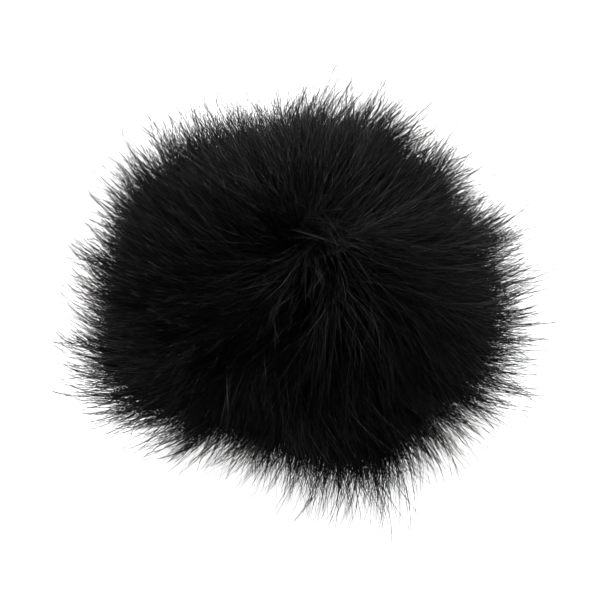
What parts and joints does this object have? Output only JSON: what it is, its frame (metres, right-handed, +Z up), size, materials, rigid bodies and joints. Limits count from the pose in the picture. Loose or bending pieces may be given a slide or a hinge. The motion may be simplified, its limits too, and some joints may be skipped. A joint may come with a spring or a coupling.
{
  "type": "furry microphone windscreen",
  "caption": "Furry windscreen for a clip-on microphone: a sewn faux-fur cover with an elastic neck, which lifts off a bored foam insert.",
  "frame": {"origin": "middle of the neck's opening, on the surface that the windscreen stands on", "axes": "+Z up the axis from the neck to the crown, +X along the fur ball's wider side, -Y towards the front panel"},
  "size_m": [0.0518, 0.0466, 0.04],
  "materials": {
    "fur": "long glossy black faux-fur pile",
    "knit": "black warp-knitted backing",
    "sewing_thread": "black polyester thread",
    "tape": "black woven binding tape",
    "elastic": "black braided elastic",
    "foam": "dark grey open-cell acoustic foam"
  },
  "bodies": {
    "insert": {"foam_insert": "foam"},
    "cover": {"gore_front": "knit", "gore_right": "knit", "gore_back": "knit", "gore_left": "knit", "pile_front": "fur", "pile_right": "fur", "pile_back": "fur", "pile_left": "fur", "seam_thread_front_right": "sewing_thread", "seam_thread_back_right": "sewing_thread", "seam_thread_back_left": "sewing_thread", "seam_thread_front_left": "sewing_thread", "hem_thread": "sewing_thread", "crown_knot": "sewing_thread", "neck_binding": "tape", "elastic_band": "elastic"}
  },
  "joints": [
    {"name": "cover_lift", "type": "slide", "parent": "insert", "child": "cover", "axis": [0, 0, 1], "range_m": [0, 0.026]}
  ]
}
